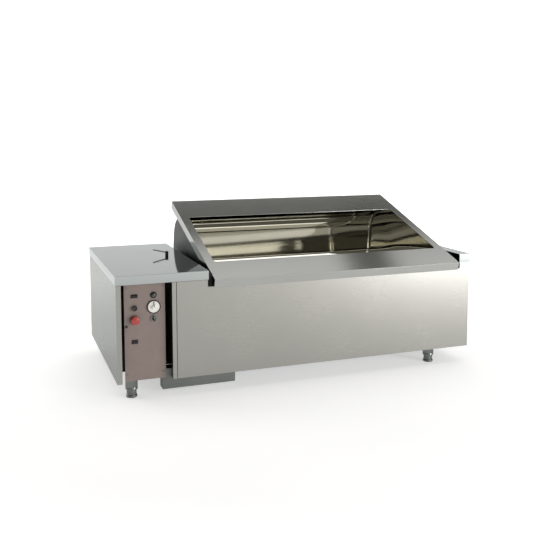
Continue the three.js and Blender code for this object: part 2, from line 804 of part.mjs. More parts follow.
// ---- Tub, drawn level ----
// The tub's section, with its walls moved outwards by `grow`: a straight front, a flat floor, a
// back wall swept about the tilt axis, and a shoulder that leans in under the back of the rim.
function tubSection(grow) {
  const top = TOP - SHEET - FIT;
  const shoulder = {
    y: PIVOT.y + SHOULDER.distance * Math.cos(SHOULDER.angle),
    z: PIVOT.z + SHOULDER.distance * Math.sin(SHOULDER.angle),
  };
  const toCentre = { y: shoulder.y - MOUTH.back, z: shoulder.z - top };
  const span = Math.hypot(toCentre.y, toCentre.z);
  const lean = Math.atan2(toCentre.z, toCentre.y) + Math.asin(SHOULDER.radius / span);
  const rise = TUB_FLOOR + BACK_FILLET - PIVOT.z;
  const backAngle = Math.asin(rise / (TUB_SWEEP - BACK_FILLET));
  const backCentre = PIVOT.y + (TUB_SWEEP - BACK_FILLET) * Math.cos(backAngle);

  const shape = new THREE.Shape();
  shape.moveTo(MOUTH.front - grow, top);
  shape.lineTo(MOUTH.front - grow, TUB_FLOOR + FRONT_FILLET);
  const arcs = [
    [MOUTH.front + FRONT_FILLET, TUB_FLOOR + FRONT_FILLET, FRONT_FILLET, Math.PI, Math.PI * 1.5],
    [backCentre, TUB_FLOOR + BACK_FILLET, BACK_FILLET, -Math.PI / 2, backAngle],
    [PIVOT.y, PIVOT.z, TUB_SWEEP, backAngle, SHOULDER.angle],
    [shoulder.y, shoulder.z, SHOULDER.radius, SHOULDER.angle, lean + Math.PI / 2],
  ];
  for (const [y, z, radius, from, to] of arcs) {
    shape.absarc(y, z, radius + grow, from, to, false);
  }
  shape.lineTo(MOUTH.back - grow / Math.sin(lean), top);
  shape.closePath();
  return shape;
}

function addTub() {
  const drain = { x: 515, y: 250, radius: 22 };
  const probe = { y: 260, z: 215, radius: 5 };
  const mouth = box(MOUTH.left, MOUTH.right, MOUTH.front, MOUTH.back, TOP - 2 * SHEET, TOP + 5);
  const shell = cut(
    prismX(tubSection(TUB_WALL), MOUTH.left - TUB_WALL, MOUTH.right + TUB_WALL, 8),
    prismX(tubSection(0), MOUTH.left, MOUTH.right, 8),
    mouth,
    prismZ(disc(drain.x, drain.y, drain.radius), TUB_FLOOR - 20, TUB_FLOOR + 20),
    prismX(disc(probe.y, probe.z, probe.radius + 0.6), MOUTH.left - 20, MOUTH.left + 20, 8),
  );
  place(level, "tub_shell", "polishedSteel", shell);

  const rim = cut(
    tray(RIM.left, RIM.right, 0, RIM.back, TOP - FASCIA, TOP, SHEET, "z0"),
    mouth,
    prismX(disc(PIVOT.y, PIVOT.z, SIDE_NOTCH.relief), RIM.left - 5, RIM.left + 5, 24),
    prismX(disc(PIVOT.y, PIVOT.z, SIDE_NOTCH.relief), RIM.right - 5, RIM.right + 5, 24),
  );
  place(level, "tub_rim", "satinSteel", rim);

  const underFloor = TUB_FLOOR - TUB_WALL;
  const spigot = cut(
    join(
      prismZ(disc(drain.x, drain.y, drain.radius - 0.6), underFloor - 28, TUB_FLOOR + TUCK),
      prismZ(disc(drain.x, drain.y, drain.radius + 9), underFloor - 10, underFloor - FIT),
    ),
    prismZ(disc(drain.x, drain.y, drain.radius - 5), TUB_FLOOR - 60, TUB_FLOOR + 10),
  );
  place(level, "drain_spigot", "satinSteel", spigot);

  const heater = box(600, MOUTH.right - 70, 260, 740, underFloor - FIT - 10, underFloor - FIT);
  place(level, "heating_plate", "darkSteel", heater);

  const probeRod = join(
    prismX(disc(probe.y, probe.z, probe.radius), MOUTH.left - 20, MOUTH.left + 70, 8),
    prismX(disc(probe.y, probe.z, 11), MOUTH.left - TUB_WALL - 12, MOUTH.left - TUB_WALL - FIT, 3),
  );
  place(level, "temperature_probe", "satinSteel", probeRod);

  const shaft = cut(
    prismX(disc(PIVOT.y, PIVOT.z, SHAFT.radius), SHAFT.start, SHAFT.end, 14),
    prismX(disc(PIVOT.y, PIVOT.z, SHAFT.bore), SHAFT.start - 5, SHAFT.end + 5, 12),
  );
  place(level, "tilt_shaft", "satinSteel", shaft);

  // Each end of the tub has a tray-shaped jacket, whose arm reaches forward and holds the shaft.
  const bore = disc(PIVOT.y, PIVOT.z, SHAFT.radius + FIT);
  const boss = 36;
  const arm = new THREE.Shape();
  const armRoot = MOUTH.front + 10;
  arm.absarc(PIVOT.y, PIVOT.z, boss, ARM.from, ARM.to, false);
  arm.lineTo(armRoot, PIVOT.z - 110);
  arm.lineTo(armRoot, PIVOT.z + 55);
  arm.closePath();
  const jacket = (x0, x1, pocket, ...holes) =>
    cut(
      join(prismX(tubSection(TUB_WALL), x0, x1, 8), prismX(arm, x0 + TUCK, x1 - TUCK, 12)),
      cut(
        prismX(tubSection(TUB_WALL - JACKET.skin), ...pocket, 8),
        prismX(disc(PIVOT.y, PIVOT.z, boss + SHEET), x0 - 5, x1 + 5, 12),
      ),
      prismX(bore, x0 - 5, x1 + 5),
      ...holes,
    );
  const left = { inner: MOUTH.left - TUB_WALL - FIT };
  left.outer = left.inner - JACKET.depth;
  left.pocket = [left.outer + JACKET.skin, left.inner + 5];
  const probeHole = prismX(disc(probe.y, probe.z, 13), left.outer - 5, left.inner + 5, 8);
  const leftJacket = jacket(left.outer, left.inner, left.pocket, probeHole);
  place(level, "tub_jacket_left", "satinSteel", leftJacket);
  const right = { inner: MOUTH.right + TUB_WALL + FIT };
  right.outer = right.inner + JACKET.depth;
  right.pocket = [right.inner - 5, right.outer - JACKET.skin];
  place(level, "tub_jacket_right", "satinSteel", jacket(right.inner, right.outer, right.pocket));

  const phase = MESH_ANGLE - REST_TILT;
  const tooth = 360 / SECTOR_TEETH;
  const first = -Math.round(SECTOR.reach / tooth);
  const count = Math.round((SECTOR.reach + SECTOR.lead) / tooth) + 1;
  const rimPoints = gearTeeth(SECTOR_TEETH, first, count, phase);
  const hubAt = (turn) => polar(40, phase + THREE.MathUtils.degToRad(turn));
  const hubArc = [SECTOR.lead + 50, 110, 150, 190, 230, 360 - SECTOR.reach - 50].map(hubAt);
  const sector = cut(
    prismX(shapeAt([...rimPoints, ...hubArc], PIVOT.y, PIVOT.z), SECTOR.from, SECTOR.to),
    prismX(bore, SECTOR.from - 5, SECTOR.to + 5),
  );
  place(level, "sector_gear", "darkSteel", sector);
}

addFrame();
addFeet();
addCasing();
addControls();
const inletHoles = addServices();
addDrive();
addBearings();
addTub();

const serviceFloor = cabinet.getObjectByName("service_floor");
serviceFloor.geometry = cut(serviceFloor.geometry, ...inletHoles);

bath.updateMatrixWorld(true);
const extent = new THREE.Box3().setFromObject(bath, true);
const middle = extent.getCenter(new THREE.Vector3());
bath.position.set(-middle.x, -middle.y, -extent.min.z);

export default bath;
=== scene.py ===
"""Tilting water bath: the finishes, small parts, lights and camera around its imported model.

Metres, or millimetres where a comment says so. X runs to the right along the front, Y to the back
and Z up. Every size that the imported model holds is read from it. The rest are the properties and
the named values below.
"""

import json
import math

import bpy
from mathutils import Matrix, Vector


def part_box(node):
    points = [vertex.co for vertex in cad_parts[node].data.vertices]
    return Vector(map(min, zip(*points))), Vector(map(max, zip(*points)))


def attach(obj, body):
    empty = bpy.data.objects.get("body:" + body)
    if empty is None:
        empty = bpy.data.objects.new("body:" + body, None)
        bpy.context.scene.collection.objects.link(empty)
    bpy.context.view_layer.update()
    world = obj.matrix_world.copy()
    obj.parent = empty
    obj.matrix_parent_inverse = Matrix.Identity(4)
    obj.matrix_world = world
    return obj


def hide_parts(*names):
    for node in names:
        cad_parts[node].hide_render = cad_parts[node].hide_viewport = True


bl_info = {
    "name": "Tilting water bath",
    "version": (1, 0, 0),
    "blender": (4, 5, 0),
    "location": "3D View > Sidebar > Water bath",
    "description": "Builds the visible pieces of a tilting water bath around its packed model",
    "category": "Add Mesh",
}

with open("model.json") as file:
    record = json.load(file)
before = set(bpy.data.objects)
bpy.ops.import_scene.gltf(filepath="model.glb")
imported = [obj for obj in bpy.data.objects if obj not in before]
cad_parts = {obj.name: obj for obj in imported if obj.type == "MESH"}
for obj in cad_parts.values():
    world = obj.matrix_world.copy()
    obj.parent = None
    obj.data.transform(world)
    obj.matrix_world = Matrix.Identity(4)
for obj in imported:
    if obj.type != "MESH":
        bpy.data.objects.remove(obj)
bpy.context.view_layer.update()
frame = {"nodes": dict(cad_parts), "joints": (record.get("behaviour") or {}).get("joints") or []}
NODES = frame["nodes"]
JOINTS = {joint["name"]: joint for joint in frame["joints"]}

MM = 0.001
SHAFT = Vector(JOINTS["tub_tilt"]["pos_m"])
REST_TILT = math.radians(-JOINTS["tub_tilt"]["range_deg"][0])
LEFT, RIGHT = Vector((-1, 0, 0)), Vector((1, 0, 0))
FRONT, BACK = Vector((0, -1, 0)), Vector((0, 1, 0))
UP = Vector((0, 0, 1))
QUARTER = math.radians(90)
FOOT_CORNERS = ("front_left", "front_right", "back_left", "back_right")

# Edges that turn by more than this, in degrees, stay sharp when a piece is shaded smooth.
SHARP = 35
# Points closer than this lie in the same plane.
SAME = 1e-5
# A noise texture's values hardly leave this range.
NOISE_LOW, NOISE_HIGH = 0.3, 0.7
NOISE, BUMP = "ShaderNodeTexNoise", "ShaderNodeBump"
MAP_RANGE, RAMP = "ShaderNodeMapRange", "ShaderNodeValToRGB"

# Profiles of turned pieces: pairs of radius and distance along the axis, in millimetres. Those of
# the controls start behind the panel's face, which is at 0.
LAMP_RING = [(15, 0.2), (15, 2.4), (14.2, 3.2), (12.6, 3.2), (12, 2.6)]
LAMP_LENS = [
    (8, -25), (8, 0.5), (11.8, 0.5), (11.8, 4.4), (11.2, 6.2), (9.8, 8.2), (7.4, 9.7), (4.2, 10.5),
    (0.6, 10.8),
]
PUSH_CAP = [
    (8, -25), (8, 6), (11.4, 6), (12, 6.6), (12, 10.6), (11.5, 11.4), (10.4, 11.9), (9.4, 11.9),
    (8.6, 11.3), (0.5, 11.0),
]
STOP_MUSHROOM = [
    (6, -25), (6, 10), (14, 10), (18.6, 12.7), (19.7, 14.2), (20, 16), (19.6, 18), (18.2, 19.7),
    (15.6, 21.1), (11, 22.1), (5.5, 22.5), (0.6, 22.5),
]
DIAL_DISC = [(5, -20), (5, 3.5), (25.6, 3.5), (26, 3.9), (26, 6), (25.4, 6.5), (9.6, 7.4)]
DIAL_KNOB = [(9.4, 7.2), (9, 15.6), (8.2, 16.9), (6.6, 17.5), (0.6, 17.5)]


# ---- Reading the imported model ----
def middle(node):
    low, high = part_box(node)
    return (low + high) / 2


def level_box(node):
    """A tilting node's lowest and highest corners with the tub turned level about its shaft."""
    cos, sin = math.cos(-REST_TILT), math.sin(-REST_TILT)
    points = []
    for vertex in NODES[node].data.vertices:
        y, z = vertex.co.y - SHAFT.y, vertex.co.z - SHAFT.z
        points.append((vertex.co.x, SHAFT.y + y * cos - z * sin, SHAFT.z + y * sin + z * cos))
    low = Vector([min(point[i] for point in points) for i in range(3)])
    high = Vector([max(point[i] for point in points) for i in range(3)])
    return low, high


def on_panel(node):
    """The point on the control panel's face behind the middle of a control."""
    centre = middle(node)
    return Vector((centre.x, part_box("control_panel")[0].y, centre.z))


def spaced(low, high, inset, count=2):
    """Even places along a line, with the first and the last set in from its ends."""
    step = (high - low - 2 * inset) / (count - 1)
    return [low + inset + i * step for i in range(count)]


# ---- Modelling, one step of the hand at a time ----
def deselect():
    bpy.ops.object.select_all(action="DESELECT")


def only(*pieces):
    """Leaves just these pieces selected, with the first one active."""
    deselect()
    for piece in pieces:
        piece.select_set(True)
    bpy.context.view_layer.objects.active = pieces[0]


def named(piece, name):
    piece.name = name
    piece.data.name = name
    return piece


def applied(piece):
    """Moves a piece's place, turn and scale into its mesh."""
    only(piece)
    bpy.ops.object.transform_apply(location=True, rotation=True, scale=True)
    return piece


def settled(name, at=None, scale=None):
    """Names, scales and places the object just added."""
    piece = named(bpy.context.object, name)
    if scale is not None:
        piece.scale = scale
    if at is not None:
        piece.location = at
    return applied(piece)


def placed(piece, place, turn=(0, 0, 0)):
    """Turns a piece drawn at the origin and moves it to its place."""
    piece.rotation_euler = turn
    piece.location = place
    return applied(piece)


def block(name, low, high):
    """A cube drawn between two corners."""
    low, high = Vector(low), Vector(high)
    deselect()
    bpy.ops.mesh.primitive_cube_add(size=1)
    return settled(name, at=(low + high) / 2, scale=high - low)


def sheet(name, low, high, z):
    """A flat rectangle drawn between two corners at one height, facing up."""
    deselect()
    bpy.ops.mesh.primitive_plane_add(size=1)
    size = (high[0] - low[0], high[1] - low[1], 1)
    return settled(name, at=((low[0] + high[0]) / 2, (low[1] + high[1]) / 2, z), scale=size)


def close():
    """Leaves edit mode."""
    bpy.ops.object.mode_set(mode="OBJECT")


def select(piece, kind, test):
    """Opens a piece in edit mode with only the faces, edges or vertices that pass the test.

    The test gets the part and the points of its corners.
    """
    only(piece)
    bpy.ops.object.mode_set(mode="EDIT")
    bpy.ops.mesh.select_mode(type=kind)
    bpy.ops.mesh.select_all(action="DESELECT")
    close()
    mesh = piece.data
    parts = {"FACE": mesh.polygons, "EDGE": mesh.edges, "VERT": mesh.vertices}[kind]
    for part in parts:
        corners = [part] if kind == "VERT" else [mesh.vertices[i] for i in part.vertices]
        part.select = test(part, [corner.co for corner in corners])
    bpy.ops.object.mode_set(mode="EDIT")


def everything(part, corners):
    return True


def outwards(piece):
    select(piece, "FACE", everything)
    bpy.ops.mesh.normals_make_consistent(inside=False)
    close()


def modify(piece, kind, **settings):
    """Adds a modifier and applies it."""
    only(piece)
    modifier = piece.modifiers.new(kind.title(), kind)
    for key, value in settings.items():
        setattr(modifier, key, value)
    bpy.ops.object.modifier_apply(modifier=modifier.name)
    return piece


def smooth(piece, angle=SHARP):
    only(piece)
    bpy.ops.object.shade_smooth_by_angle(angle=math.radians(angle))
    return piece


def rounded(piece, width, segments=2):
    """Rounds a piece's sharp edges and keeps its flats flat."""
    limit = math.radians(SHARP)
    modify(
        piece, "BEVEL", width=width, segments=segments, limit_method="ANGLE", angle_limit=limit
    )
    smooth(piece)
    return modify(piece, "WEIGHTED_NORMAL", keep_sharp=True)


def cut(piece, *tools):
    """Takes each tool away from a piece, and removes the tool."""
    for tool in tools:
        modify(piece, "BOOLEAN", operation="DIFFERENCE", solver="EXACT", object=tool)
        bpy.data.objects.remove(tool)
    return piece


def drilled(piece, place, radius, reach):
    """Cuts an upright hole of a radius in millimetres, reaching as far above as below a place."""
    base = (place[0], place[1], place[2] - reach * MM)
    return cut(piece, turned("hole", base, UP, [(radius, 0), (radius, 2 * reach)]))


def joined(name, *pieces):
    only(*pieces)
    if len(pieces) > 1:
        bpy.ops.object.join()
    return named(pieces[0], name)


def repeated(piece, places):
    """Copies of a piece, each with its own mesh moved to its place, joined into one."""
    copies = []
    for place in places:
        only(piece)
        bpy.ops.object.duplicate(linked=False)
        copies.append(placed(bpy.context.object, place))
    name = piece.name
    bpy.data.objects.remove(piece)
    return joined(name, *copies)


def turned(name, base, axis, profile, sides=48):
    """A turned piece: a disc extruded and scaled step by step along its axis.

    The profile lists pairs of radius and distance from the base, in millimetres.
    """
    (radius, height), *steps = [(r * MM, h * MM) for r, h in profile]
    deselect()
    bpy.ops.mesh.primitive_circle_add(
        vertices=sides, radius=radius, fill_type="NGON", location=(0, 0, height)
    )
    bpy.ops.object.mode_set(mode="EDIT")
    bpy.ops.mesh.select_mode(type="FACE")
    bpy.ops.mesh.select_all(action="SELECT")
    for next_radius, next_height in steps:
        rise = (0, 0, next_height - height)
        bpy.ops.mesh.extrude_region_move(TRANSFORM_OT_translate={"value": rise})
        share = next_radius / radius
        bpy.ops.transform.resize(value=(share, share, 1), center_override=(0, 0, next_height))
        radius, height = next_radius, next_height
    close()
    piece = placed(settled(name), base, UP.rotation_difference(axis).to_euler())
    outwards(piece)
    return smooth(piece)


def tray(name, low, high, gauge):
    """A sheet with its edges turned down, drawn between a box's corners."""
    piece = sheet(name, low, high, high.z)
    select(piece, "EDGE", everything)
    bpy.ops.mesh.extrude_edges_move(TRANSFORM_OT_translate={"value": (0, 0, low.z - high.z)})
    close()
    outwards(piece)
    return modify(piece, "SOLIDIFY", thickness=gauge, offset=-1.0, use_even_offset=True)


def softened(name, node, width, segments=2):
    """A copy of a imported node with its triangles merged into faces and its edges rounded."""
    piece = bpy.data.objects.new(name, NODES[node].data.copy())
    bpy.context.scene.collection.objects.link(piece)
    piece.data.name = name
    piece.data.materials.clear()
    select(piece, "FACE", everything)
    bpy.ops.mesh.customdata_custom_splitnormals_clear()
    bpy.ops.mesh.remove_doubles(threshold=0.02 * MM)
    bpy.ops.mesh.dissolve_limited(angle_limit=math.radians(1))
    bpy.ops.mesh.normals_make_consistent(inside=False)
    close()
    return rounded(piece, width, segments) if width else smooth(piece)


def tipped(piece):
    """Turns a piece drawn with the tub level to the tub's tilt at rest, about the shaft."""
    bpy.context.scene.cursor.location = SHAFT
    only(piece)
    bpy.ops.object.origin_set(type="ORIGIN_CURSOR")
    piece.rotation_euler = (REST_TILT, 0, 0)
    bpy.context.scene.cursor.location = (0, 0, 0)
    return applied(piece)


def paint(piece, *materials):
    """Fills a piece's material slots in order, adding those that are missing."""
    slots = piece.data.materials
    for i, material in enumerate(materials):
        if i < len(slots):
            slots[i] = material
        else:
            slots.append(material)


def finish(piece, body, slot, *materials, stands_for=()):
    """Gives a piece its materials, its body and the nodes it stands for. The slot is not used."""
    paint(piece, *materials)
    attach(piece, body)
    if stands_for:
        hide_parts(*stands_for)
    return piece


def remade(node, how, width, body, slot, material, segments=2):
    """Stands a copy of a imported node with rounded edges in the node's place, and finishes it."""
    piece = softened(f"{node}_{how}", node, width, segments)
    return finish(piece, body, slot, material, stands_for=(node,))


def dress(material, *nodes):
    """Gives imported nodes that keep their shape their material."""
    for node in nodes:
        NODES[node].data.materials.clear()
        NODES[node].data.materials.append(material)


def screws(name, axis, radius, places):
    """Domed screw heads with a round socket, facing along an axis, their radius in millimetres."""
    steps = [(1, 0), (1, 0.5), (0.9, 1.0), (0.7, 1.5), (0.5, 1.75), (0.42, 1.75), (0.42, 0.9)]
    head = turned(name, (0, 0, 0), axis, [(radius * share, height) for share, height in steps], 18)
    finish(repeated(head, places), "cabinet", "frame_steel", machined_steel())


def corner_bolts(node, side, face, radius):
    """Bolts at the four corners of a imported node, their heads on a face that looks sideways."""
    low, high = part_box(node)
    inset = 12 * MM
    places = [
        (face, y, z) for y in spaced(low.y, high.y, inset) for z in spaced(low.z, high.z, inset)
    ]
    screws(f"{node}_bolts", side, radius, places)


# ---- Materials ----
def colour(value):
    """The linear colour that a shader takes, from an sRGB hex value or a colour property."""
    if not isinstance(value, str):
        return (*value, 1)
    channels = [int(value[i : i + 2], 16) / 255 for i in (1, 3, 5)]
    linear = [c / 12.92 if c <= 0.04045 else ((c + 0.055) / 1.055) ** 2.4 for c in channels]
    return (*linear, 1)


def add_node(material, kind, inputs=None, **settings):
    """Adds a node to a material, with its settings, its values and its links from other nodes."""
    node = material.node_tree.nodes.new(kind)
    for key, value in settings.items():
        setattr(node, key, value)
    for key, value in (inputs or {}).items():
        if isinstance(value, bpy.types.NodeSocket):
            material.node_tree.links.new(value, node.inputs[key])
        else:
            node.inputs[key].default_value = value
    return node


def material_with_shader(name, **sockets):
    """A new material and its Principled shader, or None for the shader if it was made before."""
    if name in bpy.data.materials:
        return bpy.data.materials[name], None
    material = bpy.data.materials.new(name)
    material.use_nodes = True
    shader = material.node_tree.nodes["Principled BSDF"]
    for key, value in sockets.items():
        shader.inputs[key.replace("_", " ")].default_value = value
    return material, shader


def object_pattern(material, stretch=(1, 1, 1)):
    """Object coordinates in metres, stretched along the axes."""
    place = add_node(material, "ShaderNodeTexCoord")
    mapping = add_node(
        material, "ShaderNodeMapping", {"Vector": place.outputs["Object"], "Scale": stretch}
    )
    return mapping.outputs["Vector"]


def skin(material, shader, pattern, tones, edges, rough, bump):
    """Links a shader's colour and roughness to a pattern, and its normal to a bump.

    edges are the pattern's values at which the first and the second tone are reached. rough holds
    the roughness at the pattern's low and high values.
    """
    ramp = add_node(material, RAMP, {"Fac": pattern})
    for element, edge, tone in zip(ramp.color_ramp.elements, edges, tones):
        element.position = edge
        element.color = colour(tone)
    spread = add_node(
        material,
        MAP_RANGE,
        {
            "Value": pattern,
            "From Min": NOISE_LOW,
            "From Max": NOISE_HIGH,
            "To Min": rough[0],
            "To Max": rough[1],
        },
    )
    links = material.node_tree.links
    links.new(ramp.outputs["Color"], shader.inputs["Base Color"])
    links.new(spread.outputs["Result"], shader.inputs["Roughness"])
    links.new(bump.outputs["Normal"], shader.inputs["Normal"])


def bare_metal(name, light, dark, roughness, grain, along, depth, wave=0.0):
    """Bare metal: a grain of long fine streaks, a cloudy tone and a slight waviness.

    grain is the streaks' spacing across the grain and depth their height, in millimetres. Real
    streaks are finer, and they are drawn this coarse so that they show. along is the axis that the
    grain runs in, 0, 1 or 2. wave is the height of the sheet's waviness, in millimetres.
    """
    streak_length, streak_share, cloud_size, wave_size = 60, 0.4, 0.22, 0.35
    # Seen along its surface, real steel is darker than the shader's usual metal.
    material, shader = material_with_shader(
        name, Metallic=1.0, Specular_Tint=(0.66, 0.67, 0.67, 1)
    )
    if shader is None:
        return material
    across = 1 / (grain * MM * 2)
    stretch = [across, across, across]
    stretch[along] = across / streak_length
    place, stretched = object_pattern(material), object_pattern(material, stretch)
    streaks = add_node(material, NOISE, {"Vector": stretched, "Scale": 1.0, "Detail": 3.0})
    clouds = add_node(material, NOISE, {"Vector": place, "Scale": 1 / cloud_size, "Detail": 4.0})
    mixed = add_node(
        material,
        "ShaderNodeMix",
        {"Factor": streak_share, "A": clouds.outputs["Fac"], "B": streaks.outputs["Fac"]},
        data_type="FLOAT",
    )
    height = streaks.outputs["Fac"]
    bump = add_node(material, BUMP, {"Height": height, "Distance": depth * MM, "Strength": 0.6})
    if wave:
        swell = add_node(material, NOISE, {"Vector": place, "Scale": 1 / wave_size, "Detail": 0.0})
        bump = add_node(
            material,
            BUMP,
            {
                "Height": swell.outputs["Fac"],
                "Distance": wave * MM,
                "Strength": 1.0,
                "Normal": bump.outputs["Normal"],
            },
        )
    rough = (roughness * 0.98, roughness * 1.03)
    skin(material, shader, mixed.outputs["Result"], (dark, light), (0.35, 0.65), rough, bump)
    return material


def coating(name, light, dark, roughness, grit, depth, coat=0.0):
    """Lacquer, moulded plastic, rubber or an enamelled casting: an even skin with a fine grit.

    grit is the size of the grit or orange peel and depth its height, in millimetres. coat is how
    far a clear gloss lies over it.
    """
    patch_size = 0.05
    material, shader = material_with_shader(name, Coat_Weight=coat, Coat_Roughness=0.15)
    if shader is None:
        return material
    place = object_pattern(material)
    grains = add_node(material, NOISE, {"Vector": place, "Scale": 1 / (grit * MM), "Detail": 2.0})
    patches = add_node(material, NOISE, {"Vector": place, "Scale": 1 / patch_size, "Detail": 3.0})
    height = grains.outputs["Fac"]
    bump = add_node(material, BUMP, {"Height": height, "Distance": depth * MM, "Strength": 0.7})
    edges, rough = (NOISE_LOW, NOISE_HIGH), (roughness * 0.85, min(1.0, roughness * 1.15))
    skin(material, shader, patches.outputs["Fac"], (dark, light), edges, rough, bump)
    return material


def satin_casing_steel():
    # Stainless sheet ground with a fine belt: soft blurred reflections, streaked along the front.
    # The real scratches are 0.1 mm apart; they are drawn at 1.6 mm so that they show.
    return bare_metal(
        "satin_ground_stainless", "#9E9D98", "#9B9A95", 0.27, 1.6, 0, 0.001, wave=0.03
    )


def satin_side_steel_painted_shade():
    # The same sheet where it faces sideways, with the grain running front to back. Its tone is a
    # shade darker than the front's: painted shade for the side that faces away from the lights.
    return bare_metal(
        "satin_ground_stainless_side_painted_shade", "#9A9B96", "#979893", 0.27, 1.6, 1, 0.001, wave=0.03
    )


def bright_worktop_steel():
    # Bright annealed stainless sheet: near mirror, slightly blue, with the sheet's own waviness.
    return bare_metal(
        "bright_annealed_stainless", "#9DA1A0", "#999D9C", 0.07, 1.2, 0, 0.0003, wave=0.08
    )


def rim_steel():
    # The tub's rim is buffed sheet, between satin and bright.
    return bare_metal("buffed_stainless", "#AEAFAC", "#ABACA9", 0.15, 1.4, 0, 0.0005, wave=0.08)


def mirror_tub_steel():
    # Polished stainless inside the tub: a mirror with long soft ripples.
    return bare_metal(
        "mirror_polished_stainless", "#D8D6CD", "#D2D0C7", 0.05, 1.5, 0, 0.0001, wave=0.3
    )


def dull_tub_steel_painted_shade():
    # The tub's outside is left unpolished: dull and cloudy. Its very dark tone is painted shade,
    # for the shadow under the rim and the dark that the end walls reflect.
    return bare_metal("unpolished_stainless_painted_shade", "#4E4F4D", "#3E3F3D", 0.42, 2.0, 0, 0.02)


def mill_steel():
    # Mill finish stainless: matt grey with hardly any grain.
    return bare_metal("mill_finish_stainless", "#787B78", "#6D706D", 0.42, 2.5, 0, 0.02)


def machined_steel():
    # Turned and milled stainless: bright, with fine tool marks.
    return bare_metal("machined_stainless", "#7F817F", "#737573", 0.3, 0.8, 2, 0.01)


def gear_steel():
    # Hardened gear steel under a film of oil.
    return bare_metal("oiled_gear_steel", "#6A6B6E", "#4C4D50", 0.36, 1.0, 0, 0.01)


def turned_brass():
    # Machined brass, a little tarnished.
    return bare_metal("machined_brass", "#D2B46C", "#A98C4A", 0.3, 0.8, 1, 0.01)


def anodised_alloy():
    # Dull anodised aluminium on the heater's back plate.
    return bare_metal("anodised_aluminium", "#77787C", "#66676A", 0.5, 3.0, 0, 0.01)


def control_lacquer():
    # Powder lacquer on the control panel: brown-grey, satin, with a slight orange peel.
    tones = bpy.context.scene.bath_finish
    light, dark = tones.lacquer_light, tones.lacquer_dark
    return coating("brown_grey_powder_lacquer", light, dark, 0.38, 2.2, 0.02, coat=0.15)


def black_abs():
    # Black moulded ABS with a fine spark-eroded texture.
    return coating("black_moulded_abs", "#1B1B1B", "#121212", 0.42, 0.7, 0.03)


def rubber():
    # Moulded rubber: deep black and matt.
    return coating("black_moulded_rubber", "#161616", "#0D0D0D", 0.8, 1.0, 0.05)


def red_plastic():
    # Glossy red moulded plastic.
    tones = bpy.context.scene.bath_finish
    light, dark = tones.stop_light, tones.stop_dark
    return coating("red_moulded_plastic", light, dark, 0.25, 1.5, 0.01, coat=0.4)


def dial_plastic():
    # Glossy white moulded dial.
    return coating("white_moulded_plastic", "#EDEAE4", "#E2DFD8", 0.28, 1.5, 0.01, coat=0.4)


def lamp_plastic():
    # Dark tinted lens of the pilot lamp.
    return coating("tinted_lens", "#2C3530", "#1E2621", 0.12, 1.5, 0.005, coat=0.8)


def cast_paint():
    # Painted casting: grey enamel over the grit of the sand mould.
    return coating("grey_enamelled_casting", "#6F767B", "#5D6468", 0.45, 2.0, 0.12)


def studio_paper(settings, sweep):
    # Matt photographer's paper, with a painted glow of its own that no lamp casts, and painted
    # shade up the backdrop.
    paper, shader = material_with_shader(
        "studio_paper", Roughness=0.95, Specular_IOR_Level=0.1, Emission_Color=(1, 1, 1, 1)
    )
    if shader is None:
        return paper
    # Its own light grows with the distance from the bath, where the lamps fall off.
    far = add_node(paper, "ShaderNodeVectorMath", {0: object_pattern(paper)}, operation="LENGTH")
    glow = add_node(
        paper,
        MAP_RANGE,
        {
            "Value": far.outputs["Value"],
            "From Min": 1.6,
            "From Max": 3.4,
            "To Min": settings.glow,
            "To Max": settings.glow * 1.8,
        },
    )
    paper.node_tree.links.new(glow.outputs["Result"], shader.inputs["Emission Strength"])
    # Painted shade: the paper is made greyer up the backdrop, to dim it where it stands nearer the
    # lights than the floor.
    greyer = [0.4 * part for part in settings.paper]
    split = add_node(paper, "ShaderNodeSeparateXYZ", {"Vector": object_pattern(paper)})
    height = add_node(
        paper, MAP_RANGE, {"Value": split.outputs["Z"], "From Min": 0.0, "From Max": sweep}
    )
    shade = add_node(paper, RAMP, {"Fac": height.outputs["Result"]})
    shade.color_ramp.elements[0].color = colour(settings.paper)
    shade.color_ramp.elements[1].color = colour(greyer)
    paper.node_tree.links.new(shade.outputs["Color"], shader.inputs["Base Color"])
    return paper


# ---- Settings ----
class BathSettings(bpy.types.PropertyGroup):
    """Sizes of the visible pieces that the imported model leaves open."""

    fold_radius: bpy.props.FloatProperty(
        name="Fold radius",
        description="Radius of a folded sheet's edge",
        default=1.4 * MM,
        unit="LENGTH",
    )
    sheet_gauge: bpy.props.FloatProperty(
        name="Sheet gauge",
        description="Thickness of the worktops and the rim",
        default=2 * MM,
        unit="LENGTH",
    )


class TubSettings(bpy.types.PropertyGroup):
    """The tub's section, drawn with the tub level."""

    mouth_front: bpy.props.FloatProperty(
        name="Front strip",
        description="Width of the rim's front strip",
        default=170.5 * MM,
        unit="LENGTH",
    )
    mouth_back: bpy.props.FloatProperty(
        name="Mouth's back edge",
        description="From the rim's front edge",
        default=679 * MM,
        unit="LENGTH",
    )
    wall: bpy.props.FloatProperty(
        name="Tub wall", description="Thickness of the tub's wall", default=3 * MM, unit="LENGTH"
    )
    front_fillet: bpy.props.FloatProperty(
        name="Front fillet",
        description="Between front wall and floor",
        default=60 * MM,
        unit="LENGTH",
    )
    back_fillet: bpy.props.FloatProperty(
        name="Back fillet",
        description="Between floor and back wall",
        default=90 * MM,
        unit="LENGTH",
    )
    shoulder_radius: bpy.props.FloatProperty(
        name="Shoulder radius",
        description="Where the back wall leans in",
        default=130 * MM,
        unit="LENGTH",
    )
    shoulder_angle: bpy.props.FloatProperty(
        name="Shoulder angle",
        description="Where the back wall ends, seen from the shaft",
        default=math.radians(-4.6),
        subtype="ANGLE",
    )
    corner: bpy.props.FloatProperty(
        name="Corner radius",
        description="Where the end walls meet the sweep",
        default=16 * MM,
        unit="LENGTH",
    )


